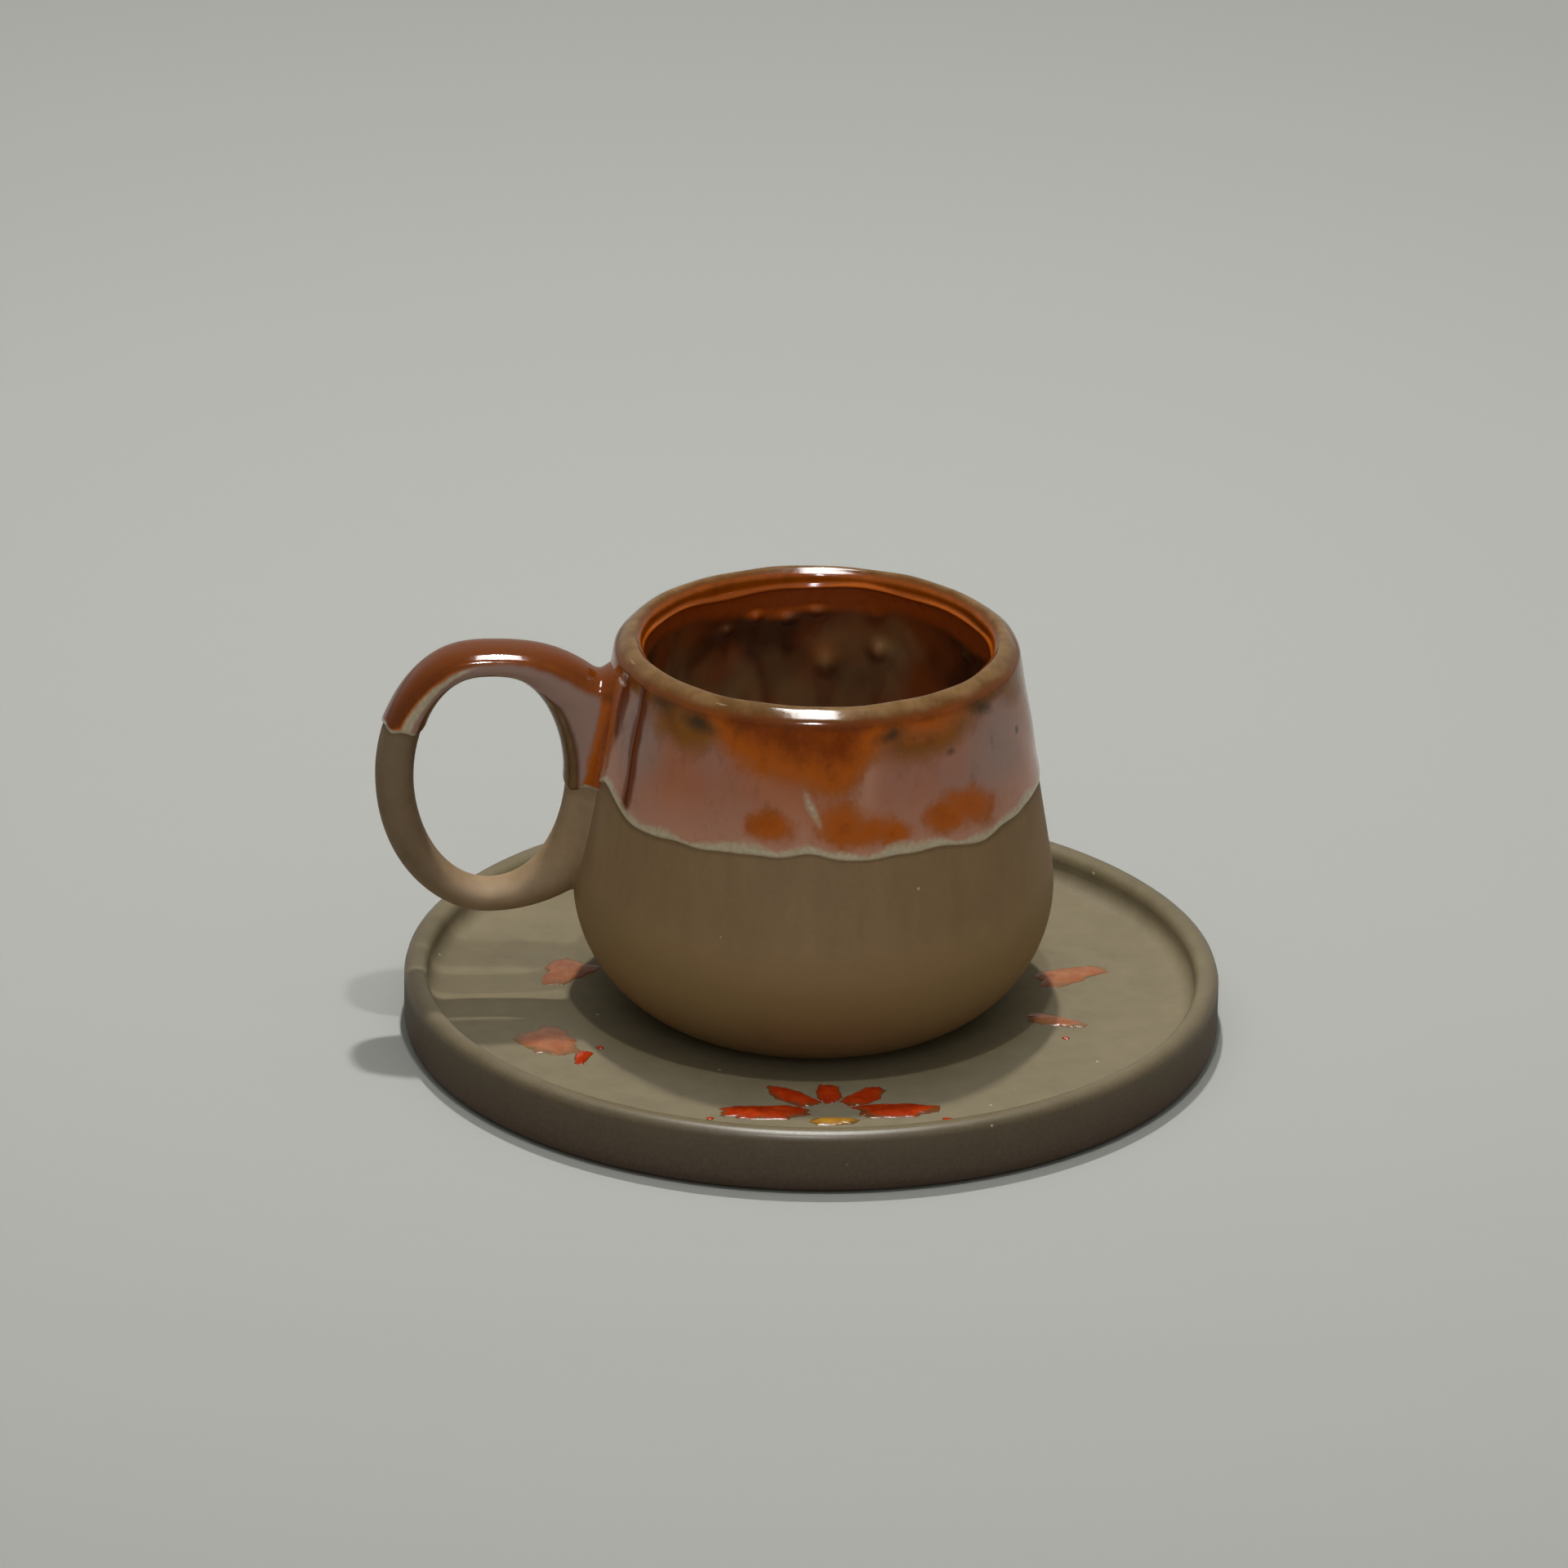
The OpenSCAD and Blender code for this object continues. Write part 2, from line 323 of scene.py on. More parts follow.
def connect(tree, node, inputs):
    """Links a node's inputs to outputs of other nodes, or sets them to values. A hex value is a colour."""
    for key, value in inputs.items():
        if isinstance(value, bpy.types.NodeSocket):
            tree.links.new(value, node.inputs[key])
        else:
            node.inputs[key].default_value = srgb(value) if isinstance(value, str) else value


def add(tree, kind, inputs=None, out=0, **settings):
    """Adds a node with its settings, connects its inputs and returns one of its outputs."""
    node = tree.nodes.new("ShaderNode" + kind)
    for key, value in settings.items():
        setattr(node, key, value)
    connect(tree, node, inputs or {})
    return node.outputs[out]


def new_material(name):
    """A node material, its tree and the Principled shader on its output."""
    material = bpy.data.materials.new(name)
    material.use_nodes = True
    tree = material.node_tree
    return material, tree, tree.nodes["Principled BSDF"]


def stoneware(name, deep, pale, wall, streak):
    """Unglazed stoneware, wiped smooth while leather-hard: matte, with wiping streaks, grit and some grog.

    Where the field wall is 1, the clay takes the colour given as wall: on the saucer a darker outer wall
    with painted shade towards its base, on the cup a paler band of painted light, on the handle a darker
    tone. Where the field rub is 1, handling has polished it.
    """
    material, tree, shader = new_material(name)
    place = add(tree, "TexCoord", out="Object")
    wiped = add(tree, "Mapping", {"Vector": place, "Scale": (1, 1, streak)})
    streaks = add(tree, "TexNoise", {"Vector": wiped, "Scale": per_mm(4), "Detail": 5, "Roughness": 0.6})
    cloud = add(tree, "TexNoise", {"Vector": place, "Scale": per_mm(18), "Detail": 3})
    grit = add(tree, "TexNoise", {"Vector": place, "Scale": per_mm(0.6), "Detail": 4, "Roughness": 0.7})
    tone = add(tree, "Math", {0: streaks, 1: 0.6}, operation="MULTIPLY")
    tone = add(tree, "Math", {0: cloud, 1: 0.4, 2: tone}, operation="MULTIPLY_ADD")
    tone = add(tree, "MapRange", {"Value": tone, "From Min": 0.34, "From Max": 0.66})
    colour = add(tree, "Mix", {FACTOR: tone, FIRST: deep, SECOND: pale}, **MIX)
    # Tone by the field wall: painted shade on the saucer, painted light on the cup, darker on the handle
    wall_tone_and_painted_light = add(tree, "Attribute", out="Fac", attribute_name="wall")
    colour = add(tree, "Mix", {FACTOR: wall_tone_and_painted_light, FIRST: colour, SECOND: wall}, **MIX)
    sandy = add(tree, "MapRange", {"Value": grit, "From Min": 0.4, "From Max": 0.75, "To Max": 0.08})
    colour = add(tree, "Mix", {FACTOR: sandy, FIRST: colour, SECOND: "#a2937a"}, **MIX)
    # Grains of grog about 0.4 mm across, in some cells of a 5 mm scatter
    cell = add(tree, "TexVoronoi", {"Vector": place, "Scale": per_mm(5)}).node
    grain = add(tree, "MapRange", {"Value": cell.outputs["Distance"], "From Min": 0.03, "From Max": 0.06,
                                   "To Min": 1.0, "To Max": 0.0})
    chosen = add(tree, "Math", {0: cell.outputs["Color"], 1: 0.58}, operation="GREATER_THAN")
    fleck = add(tree, "Math", {0: grain, 1: chosen}, operation="MULTIPLY")
    colour = add(tree, "Mix", {FACTOR: fleck, FIRST: colour, SECOND: "#b8ab90"}, **MIX)
    rough = add(tree, "MapRange", {"Value": grit, "To Min": 0.6, "To Max": 0.75})
    rubbed = add(tree, "Attribute", out="Fac", attribute_name="rub")
    rough = add(tree, "Math", {0: rubbed, 1: -0.32, 2: rough}, operation="MULTIPLY_ADD")
    bump = add(tree, "Bump", {"Height": grit, "Strength": 0.3, "Distance": 0.05 * MM})
    connect(tree, shader, {"Base Color": colour, "Roughness": rough, "IOR": 1.45, "Specular IOR Level": 0.2,
                           "Normal": bump})
    return material


def rust_glaze(name):
    """Iron-rust dipping glaze: glossy glass with a warm mauve lustre.

    It breaks tan over the lip, and is rust where it is thick and cream at its rolled edge. The fields
    say where, in soft steps about 0: lilac, which is partly painted sheen, blush, gold, rust, run for
    drips, speck, cream and lip.
    """
    material, tree, shader = new_material(name)
    place = add(tree, "TexCoord", out="Object")
    drawn = add(tree, "Mapping", {"Vector": place, "Scale": (1, 1, 0.6)})
    ragged = add(tree, "TexNoise", {"Vector": drawn, "Scale": per_mm(3.6), "Detail": 6, "Roughness": 0.62})
    fine = add(tree, "TexNoise", {"Vector": place, "Scale": per_mm(0.7), "Detail": 3, "Roughness": 0.6})
    cloud = add(tree, "TexNoise", {"Vector": drawn, "Scale": per_mm(12), "Detail": 3})
    spread = add(tree, "MapRange", {"Value": cloud, "From Min": 0.35, "From Max": 0.65})
    colour = add(tree, "Mix", {FACTOR: spread, FIRST: "#b06c4a", SECOND: "#a47260"}, **MIX)
    stain = add(tree, "MapRange", {"Value": ragged, "From Min": 0.5, "From Max": 0.8, "To Max": 0.35})
    colour = add(tree, "Mix", {FACTOR: stain, FIRST: colour, SECOND: "#905238"}, **MIX)
    depth = add(tree, "MapRange", {"Value": ragged, "From Min": 0.35, "From Max": 0.65})
    gold = add(tree, "Mix", {FACTOR: depth, FIRST: "#7a4410", SECOND: "#935a18"}, **MIX)
    pale = add(tree, "Mix", {FACTOR: fine, FIRST: "#a49478", SECOND: "#d2c2a4"}, **MIX)
    tan = add(tree, "Mix", {FACTOR: depth, FIRST: "#63451f", SECOND: "#80603a"}, **MIX)
    # Each layer shows where its field is above a least value, with a soft edge torn by the two noises. The
    # rust is orange at its fringe and brown where it is thickest. The lip breaks brown, then tan.
    # Field, least value, softness, how far the ragged and the fine noise tear it, colour
    # The lilac layer is the lustre's own lilac with a painted sheen of the pale room on the glaze's sides
    layers = [("lilac", 0.0, 0.9, 0.6, 0.1, "#a08276"),
              ("blush", 0.0, 0.9, 0.8, 0.2, "#b8836a"),
              ("gold", 0.0, 0.5, 1.0, 0.3, gold),
              ("rust", -0.2, 0.42, 1.3, 0.4, "#a85c2a"),
              ("rust", 0.1, 0.36, 1.3, 0.4, "#b4580f"),
              ("rust", 0.85, 0.6, 1.3, 0.4, "#7e3300"),
              ("run", 0.0, 0.35, 0.4, 0.2, "#6e3210"),
              ("speck", 0.0, 0.6, 1.6, 0.4, "#4c361c"),
              ("cream", 0.0, 0.5, 0.9, 0.8, pale),
              ("lip", -0.5, 0.7, 0.6, 0.1, "#602e00"),
              ("lip", 0.2, 0.5, 0.5, 0.1, tan)]
    for field, least, softness, ragged_by, fine_by, hue in layers:
        level = add(tree, "Attribute", out="Fac", attribute_name=field)
        torn = add(tree, "Math", {0: ragged, 1: ragged_by, 2: level}, operation="MULTIPLY_ADD")
        torn = add(tree, "Math", {0: fine, 1: fine_by, 2: torn}, operation="MULTIPLY_ADD")
        middle = least + 0.5 * (ragged_by + fine_by)
        shown = add(tree, "MapRange", {"Value": torn, "From Min": middle - softness,
                                       "From Max": middle + softness}, **SOFT)
        colour = add(tree, "Mix", {FACTOR: shown, FIRST: colour, SECOND: hue}, **MIX)
    rough = add(tree, "MapRange", {"Value": fine, "From Min": 0.3, "From Max": 0.7,
                                   "To Min": 0.08, "To Max": 0.15})
    peel = add(tree, "TexNoise", {"Vector": place, "Scale": per_mm(2.2), "Detail": 3})
    bump = add(tree, "Bump", {"Height": peel, "Strength": 0.25, "Distance": 0.06 * MM})
    connect(tree, shader, {"Base Color": colour, "Roughness": rough, "IOR": 1.5, "Specular IOR Level": 0.2,
                           "Normal": bump})
    return material


def liner_glaze(name):
    """Poured liner glaze: brown glass with a rust band under the lip, slate and rust clouds, a satin floor.

    The field depth is the distance below the band's top in millimetres. The field slate is above 0 in a
    cloud, whose pale grey-brown is the glaze's slate patch and partly painted reflection.
    """
    material, tree, shader = new_material(name)
    place = add(tree, "TexCoord", out="Object")
    drawn = add(tree, "Mapping", {"Vector": place, "Scale": (1, 1, 0.75)})
    cloud = add(tree, "TexNoise", {"Vector": drawn, "Scale": per_mm(9), "Detail": 2, "Roughness": 0.5})
    other = add(tree, "TexNoise", {"Vector": drawn, "Scale": per_mm(12), "Detail": 2, "Distortion": 0.6})
    fine = add(tree, "TexNoise", {"Vector": place, "Scale": per_mm(1.2), "Detail": 4})
    depth = add(tree, "Attribute", out="Fac", attribute_name="depth")
    thick = add(tree, "MapRange", {"Value": cloud, "From Min": 0.4, "From Max": 0.64})
    colour = add(tree, "Mix", {FACTOR: thick, FIRST: "#54341e", SECOND: "#924f24"}, **MIX)
    clouded = add(tree, "Attribute", out="Fac", attribute_name="slate")
    clouded = add(tree, "Math", {0: clouded, 1: 0.15, 2: other}, operation="MULTIPLY_ADD")
    slate = add(tree, "MapRange", {"Value": clouded, "From Min": 0.44, "From Max": 0.66, "To Max": 0.8})
    # Slate clouds: the glaze's own patches, lightened in part as painted reflection
    colour = add(tree, "Mix", {FACTOR: slate, FIRST: colour, SECOND: "#967a50"}, **MIX)
    torn = add(tree, "Math", {0: cloud, 1: 6.0, 2: depth}, operation="MULTIPLY_ADD")
    band = add(tree, "MapRange", {"Value": torn, "From Min": 5.0, "From Max": 7.0,
                                  "To Min": 1.0, "To Max": 0.0}, **SOFT)
    rust = add(tree, "Mix", {FACTOR: fine, FIRST: "#a84a16", SECOND: "#c06424"}, **MIX)
    colour = add(tree, "Mix", {FACTOR: band, FIRST: colour, SECOND: rust}, **MIX)
    rough = add(tree, "MapRange", {"Value": depth, "From Min": 22, "From Max": 38,
                                   "To Min": 0.09, "To Max": 0.62})
    bump = add(tree, "Bump", {"Height": other, "Strength": 0.2, "Distance": 0.3 * MM})
    connect(tree, shader, {"Base Color": colour, "Roughness": rough, "IOR": 1.5, "Specular IOR Level": 0.25,
                           "Normal": bump})
    return material


def dab_glaze(name, deep, bright, thin):
    """Brushed glaze dab: glossy glass, darker where it pools, thin and brown at its edge, with pinholes.

    The field edge is 0 at a dab's middle and 1 at its edge.
    """
    material, tree, shader = new_material(name)
    place = add(tree, "TexCoord", out="Object")
    cloud = add(tree, "TexNoise", {"Vector": place, "Scale": per_mm(2.2), "Detail": 5, "Roughness": 0.6})
    pool = add(tree, "MapRange", {"Value": cloud, "From Min": 0.35, "From Max": 0.65})
    colour = add(tree, "Mix", {FACTOR: pool, FIRST: deep, SECOND: bright}, **MIX)
    edge = add(tree, "Attribute", out="Fac", attribute_name="edge")
    torn = add(tree, "Math", {0: cloud, 1: 1.2, 2: edge}, operation="MULTIPLY_ADD")
    worn = add(tree, "MapRange", {"Value": torn, "From Min": 1.3, "From Max": 1.65}, **SOFT)
    colour = add(tree, "Mix", {FACTOR: worn, FIRST: colour, SECOND: thin}, **MIX)
    # Pinholes about 0.4 mm across, in some cells of a 1.6 mm scatter
    cell = add(tree, "TexVoronoi", {"Vector": place, "Scale": per_mm(1.6)}).node
    burst = add(tree, "MapRange", {"Value": cell.outputs["Distance"], "From Min": 0.08, "From Max": 0.16,
                                   "To Min": 1.0, "To Max": 0.0}, **SOFT)
    chosen = add(tree, "Math", {0: cell.outputs["Color"], 1: 0.55}, operation="GREATER_THAN")
    hole = add(tree, "Math", {0: burst, 1: chosen}, operation="MULTIPLY")
    colour = add(tree, "Mix", {FACTOR: hole, FIRST: colour, SECOND: thin}, **MIX)
    height = add(tree, "Math", {0: hole, 1: -1.0, 2: cloud}, operation="MULTIPLY_ADD")
    bump = add(tree, "Bump", {"Height": height, "Strength": 0.6, "Distance": 0.14 * MM})
    connect(tree, shader, {"Base Color": colour, "Roughness": 0.22, "IOR": 1.5, "Specular IOR Level": 0.12,
                           "Normal": bump})
    return material


# Saucer: its wall colour darkens the outer wall, as painted shade towards the base
saucer_stoneware = stoneware("saucer_stoneware", "#71664c", "#7e7357", "#4e3f31", 1.0)
# Cup: its wall colour is a paler band of painted light on the lower belly
cup_stoneware = stoneware("cup_stoneware", "#806442", "#8c6f48", "#96794e", 0.25)
# Handle: a lighter, greyer copy of the cup's clay, as painted light for the dish's light on its lower bar.
# Its wall colour darkens the side away from the cup.
handle_stoneware_painted_light = stoneware("handle_stoneware_painted_light", "#8a7252", "#a48866", "#54422c", 1.0)
rust_dip = rust_glaze("rust_dipping_glaze")
liner = liner_glaze("brown_liner_glaze")
red_brush = dab_glaze("red_brush_glaze", "#982806", "#bc3c0e", "#6e4020")
salmon_brush = dab_glaze("salmon_brush_glaze", "#96583a", "#ac704c", "#806044")
amber_brush = dab_glaze("amber_brush_glaze", "#8e5e1c", "#b4842c", "#6e5224")


def saucer():
    """Saucer: a turned profile of standing ring, upright rim with rounded edges and filleted flat dish."""
    stand_in_r = saucer_r - base_round - stand_ring_w
    outline = np.concatenate([
        [[0, stand_hollow]],
        arc((stand_in_r - stand_hollow, stand_hollow - edge_round), edge_round, 90, 45, 4),
        arc((stand_in_r + edge_round, edge_round), edge_round, 225, 270, 4),
        arc((saucer_r - base_round, base_round), base_round, -90, 0, 10),
        arc((saucer_r - rim_round, saucer_h - rim_round), rim_round, 0, 90, 12),
        arc((dish_wall_r + rim_round, saucer_h - rim_round), rim_round, 90, 180, 12),
        arc((dish_floor_r, dish_z + dish_fillet), dish_fillet, 0, -90, 12),
        [[0, dish_z]]])
    grid, _, poles = turned(resample(outline, saucer_step), clay_columns)
    points, faces = close_turned(grid, poles)
    radius, height = np.hypot(points[:, 0], points[:, 1]), points[:, 2]
    # The field wall gives the outer wall a darker tone that deepens towards the base: painted shade
    wall = smooth(dish_wall_r, saucer_r - 0.4 * rim_round, radius)
    wall *= smooth(saucer_h + rim_round, saucer_h - rim_round, height)
    wall = np.maximum(wall, height < base_round) * (0.72 + 0.28 * smooth(saucer_h - 1, 1, height))
    rub = smooth(saucer_h - 2 * rim_round, saucer_h - 0.3 * rim_round, height)
    make_piece("saucer_clay", points, faces, saucer_stoneware, "saucer", ["saucer_body"],
               {"wall": wall, "rub": rub})


def cup_line():
    """Outside of the cup from foot to crest and on inside to the bowl's curve, as radius and height."""
    return np.concatenate([
        arc(base_c, base_curve_r, foot_angle, lean_deg, 160),
        arc(lip_out_c, lip_out_round, lean_deg, 90, 120),
        arc(lip_in_c, lip_in_round, 90, 180 + lean_deg, 120)[1:],
        arc(bowl_c, bowl_curve_r, lean_deg, -90, 120)])


# Heights above the foot between which the lower belly's paler tone comes in and goes out: painted
# light, standing in for the light that the dish throws up
painted_light_bottom = (3, 14)
painted_light_top = (25, 15)


def cup():
    """Cup body: a turned profile of hollow foot, round belly, lip and open bowl."""
    foot_in_r = foot_r - foot_ring_w
    outline = np.concatenate([
        [[0, foot_hollow], [foot_in_r - foot_hollow, foot_hollow], [foot_in_r, 0]],
        cup_line(), [[0, cup_floor_t]]])
    grid, _, poles = turned(resample(outline, cup_step) + [0, dish_z], clay_columns)
    points, faces = close_turned(grid, poles)
    height = points[:, 2] - dish_z
    # The field wall puts a paler band of painted light on the lower belly
    wall = 0.95 * smooth(*painted_light_top, height) * smooth(*painted_light_bottom, height)
    make_piece("cup_clay", points, faces, cup_stoneware, "cup", ["cup_body"], {"wall": wall})


# Where the coat's edge runs round the cup: bumps of angle, half-width in degrees and rise in millimetres
dip_bumps = [(-163, 8, 2.2), (-140, 15, -0.7), (-95, 6, 0.8), (-80, 7, -0.4), (-66, 7, 0.3),
             (-48, 8, -1.1), (-10, 12, 0.4), (22, 9, -0.9), (50, 8, 0.7), (78, 10, -0.8), (104, 7, 0.6),
             (130, 9, -0.7), (160, 9, 1.6)]
dip_waves = [(0.12, 13, 40), (0.1, 19, 110), (0.06, 31, 200)]
wrap_bumps = [(70, 20, 0.4), (115, 14, -0.5), (-60, 30, 0.4)]
wrap_waves = [(0.12, 11, 30)]

# Where the coat thins over the lip's shoulders: lean of the surface and half-width in degrees, depth
lip_shoulders = [(50, 28, 0.24), (128, 24, 0.18)]

# Lower hem of the rust that hangs from the lip: angle and height above the foot
rust_hem = [(-180, 56.5), (-150, 56.5), (-128, 55), (-120, 51.5), (-114, 48.6), (-108, 47.4),
            (-101, 46.8), (-96, 46.4), (-91, 45.4), (-87, 45.8), (-83, 48), (-79, 51), (-72, 53),
            (-66, 52.6), (-60, 52.4), (-52, 54), (-44, 56.5), (-14, 56.5), (4, 54), (16, 50), (28, 48),
            (36, 50.5), (46, 54), (60, 56), (80, 55), (92, 51), (104, 48), (112, 45.6), (118, 47),
            (126, 52), (140, 55.5), (160, 56.5)]

# Marks in the outer coat: angle, height above the foot, half-width and half-height in millimetres, tilt.
# Their widths are measured at one radius.
mark_r = 30
rust_spots = [(-106, 40, 2.6, 1.7, 0), (-87, 40.4, 3.2, 2.6, -20), (-80, 39.4, 3.2, 1.8, 10),
              (-74, 38.9, 2.6, 1.4, 0), (-57, 39.6, 3.4, 1.9, -10), (-50, 40.4, 4.2, 2, -18),
              (30, 39.6, 3.6, 1.9, 8), (36, 41, 2.4, 1.5, 20), (84, 39.4, 3, 1.8, 0),
              (101, 40.8, 3.6, 2.2, -16), (108, 39.8, 3.2, 1.7, 0), (142, 39.4, 3.2, 1.8, 0)]
# Grey-lilac clouds on the cup's sides: painted sheen of the pale room, over the lustre's own lilac
lilac_sheen_clouds = [(-36, 46, 8, 8.5, 0), (-152, 48, 5, 7, 0), (12, 44, 8, 5, 0), (60, 46, 7, 7, 0),
                (122, 43, 7, 4, 0)]
gold_spots = [(-134, 53.2, 6.6, 4.2, 0), (-62, 52.6, 9, 3.6, 6), (52, 53.2, 7, 4, 0),
              (146, 53, 7, 4, 0), (-16, 53.8, 8, 3, 0)]
run_spots = [(-151.5, 46, 1.2, 14, 0), (-162, 50.5, 1.5, 5.4, 0), (40, 46, 1.1, 14, 0),
             (152, 50.2, 1.4, 5.2, 0)]
specks = [(-142, 54.2, 2.0, 1.3, 10), (-129, 53.2, 2.4, 1.0, -8), (-73, 53, 2.0, 0.9, 12),
          (-41, 53.6, 2.4, 1.0, -20), (-55, 49, 0.6, 0.5, 0), (-24, 47, 0.6, 0.5, 0),
          (66, 53.4, 2.0, 1.0, 8), (97, 53.8, 2.2, 0.9, -10), (131, 53.4, 1.8, 0.9, 0),
          (20, 45, 0.6, 0.5, 0)]
cream_streaks = [(-95, 42.8, 1.0, 4.4, 24), (64, 43, 1.0, 4, -22)]
blush_folds = [(-81, 46.6, 1.7, 6.5, -4), (70, 47, 1.8, 5, 6)]

# The ridge inside the cup: its rise, its distance from the wrap line and its half-width
ridge_rise, ridge_in, ridge_half = 0.55, 0.8, 0.42

# Rust pooled round the handle's root: height of its middle, half-width and half-height
root_z, root_half_w, root_half_h = 46, 7, 8.5

# Bands of the outer coat, in millimetres: the fade of the rust's hem, the cream and the blush behind the
# dip line, the gold below the crest, and the tan about the crest with its fade outside and inside
hem_fade = 5
cream_band = 1.2
cream_waves = [(0.3, 9, 0), (0.25, 16, 120), (0.15, 29, 60)]
blush_band = 5.5
gold_below, gold_half = 3.4, 1.3
tan_below, tan_out, tan_in = 0.5, 1.9, 1.2

# Rows of the outer coat's face: how far it goes on past its edges, the close rows behind the dip line and
# before and after the crest, and the number of rows in each part and on the back
edge_margin = 0.45
dip_close = 2.4
lip_before, lip_after = 3.6, 1.8
dip_rows, wall_rows, lip_rows, wrap_rows, back_rows = 26, 36, 56, 18, 14


def dip_line(angle):
    """Height of the coat's edge above the foot at an angle round the cup."""
    return dip_z + bumps(angle, dip_bumps) + waves(angle, dip_waves)


def outer_coat():
    """Dipped outer coat: a closed skin on the cup's line, from the dip line over the lip to the wrap line.

    The face has a rolled edge at both lines, and a ridge stands along the one inside the cup. It thins
    over the lip's two shoulders, which makes them gentler than the clay's. The back lies in the clay.
    """
    angle = np.linspace(0, 360, coat_columns, endpoint=False)[None, :]
    a = np.radians(angle)
    line = resample(cup_line(), coat_line_step)
    gone = lengths(line)
    normal = line_normals(line)
    lean = np.degrees(np.arctan2(normal[:, 1], normal[:, 0]))
    thin = sum(depth * bell(lean, at, half) for at, half, depth in lip_shoulders)
    crest = gone[np.argmax(line[:, 1])]
    outside = gone <= crest
    inside = gone >= crest
    start = np.interp(dip_line(angle), line[outside, 1], gone[outside])
    wrap_line = wrap_z + bumps(angle, wrap_bumps) + waves(angle, wrap_waves)
    end = np.interp(-wrap_line, -line[inside, 1], gone[inside])

    lip_from, lip_to = crest - lip_before, crest + lip_after
    low = np.linspace(-edge_margin, dip_close, dip_rows)[:, None] + start
    wall = low[-1:] + (lip_from - low[-1:]) * np.linspace(0, 1, wall_rows)[1:-1, None]
    lip = np.linspace(lip_from, lip_to, lip_rows)[:, None] + 0 * start
    high = end - np.linspace(1, -edge_margin, wrap_rows)[:, None] * (end - lip_to - 0.08)
    along = np.concatenate([low, wall, lip, high])
    from_dip, from_wrap = along - start, end - along

    height = np.interp(along, gone, line[:, 1])
    run = np.where(along < crest, patches(angle, height, mark_r, run_spots), -1)
    uneven = 0.05 * waves(angle + 2 * height, [(1, 9, 20), (0.7, 17, 80)]) + 0.1 * smooth(0, 0.8, run)
    uneven -= np.interp(along, gone, thin)
    stand_off = np.minimum(rolled_edge(from_dip, *dip_roll), rolled_edge(from_wrap, *wrap_roll))
    stand_off += ridge_rise * bell(from_wrap, ridge_in, ridge_half)
    stand_off += smooth(0.6, 3, from_dip) * smooth(0.6, 2, from_wrap) * uneven
    back = along[:1] + (along[-1:] - along[:1]) * np.linspace(1, 0, back_rows)[:, None]
    every = np.concatenate([along, back])
    off = np.concatenate([stand_off, np.full(back.shape, -dip_back)])
    r = np.interp(every, gone, line[:, 0])
    z = np.interp(every, gone, line[:, 1])
    coat_r = r + off * np.interp(every, gone, normal[:, 0])
    coat_z = z + off * np.interp(every, gone, normal[:, 1])
    points = np.stack([coat_r * np.cos(a), coat_r * np.sin(a), coat_z + dish_z], -1)

    behind_edge = every - start
    cream_w = cream_band + waves(angle, cream_waves)
    # Drips wander by a fraction of a degree on their way down
    wander = 0.35 * np.sin(0.55 * z + 1) + 0.15 * np.sin(1.3 * z)
    below_crest = crest - every
    outer = below_crest > 0
    from_root = np.hypot(r * np.sin(a) / root_half_w, (z - root_z) / root_half_h)
    pooled = np.where(np.cos(a) < 0, 1 - from_root, -1)
    hanging = np.clip((z - between(angle, rust_hem, 360)) / hem_fade, -1, 1.2)
    spots = 0.7 * patches(angle, z, mark_r, rust_spots)
    fields = {
        "rust": np.where(outer, np.maximum.reduce([spots, hanging, pooled]), 0.45),
        "lilac": patches(angle, z, mark_r, lilac_sheen_clouds),
        "gold": np.maximum(patches(angle, z, mark_r, gold_spots),
                           1 - np.abs(below_crest - gold_below) / gold_half),
        "run": np.where(outer, patches(angle + wander, z, mark_r, run_spots), -1),
        "speck": np.where(outer, 0.55 * patches(angle, z, mark_r, specks), -1),
        "cream": np.maximum(1 - behind_edge / cream_w, patches(angle, z, mark_r, cream_streaks) - 0.6),
        "blush": np.maximum(1 - behind_edge / blush_band, patches(angle, z, mark_r, blush_folds)),
        "lip": 1 - np.maximum((below_crest - tan_below) / tan_out, (tan_below - below_crest) / tan_in),
    }
    make_piece("outer_coat", points.reshape(-1, 3), [grid_quads(len(every), coat_columns, True)], rust_dip,
               "cup", ["outer_glaze"], fields)


# Marks in the liner: angle, height above the foot, half-width and half-height in millimetres. Their widths
# are measured at one radius. A slate cloud ends with its tilt, and a lump with its rise.
liner_mark_r = 26
# Slate clouds: the glaze's own patches, partly painted reflection where they are paler
slate_and_sheen_spots = [(92, 34, 11, 12, 0), (128, 40, 5, 8, 0), (58, 44, 4, 5, 0), (-70, 30, 12, 12, 0),
               (200, 34, 8, 10, 0)]
liner_lumps = [(116, 47.9, 1.0, 0.8, 0.8), (106, 49.6, 0.9, 0.8, 0.8), (95, 48.8, 1.6, 0.9, 0.9),
               (86, 50, 1.5, 0.8, 0.8), (66, 44, 1.3, 1.6, 1.3), (83, 41, 1.5, 2.2, 1.5),
               (30, 48, 1.2, 0.9, 0.8), (-20, 45, 1.3, 1.4, 1.0), (-64, 48.6, 1.5, 0.8, 0.8),
               (-100, 43, 1.4, 2.0, 1.2), (-118, 49, 1.1, 0.8, 0.7), (160, 46, 1.4, 1.6, 1.1)]
# How far the liner runs up under the outer coat, and the sizes of its folds and of the thrown spiral
liner_overlap = 0.8
fold_rise = 0.22
spiral_rise = 0.05
spiral_pitch = 5.5


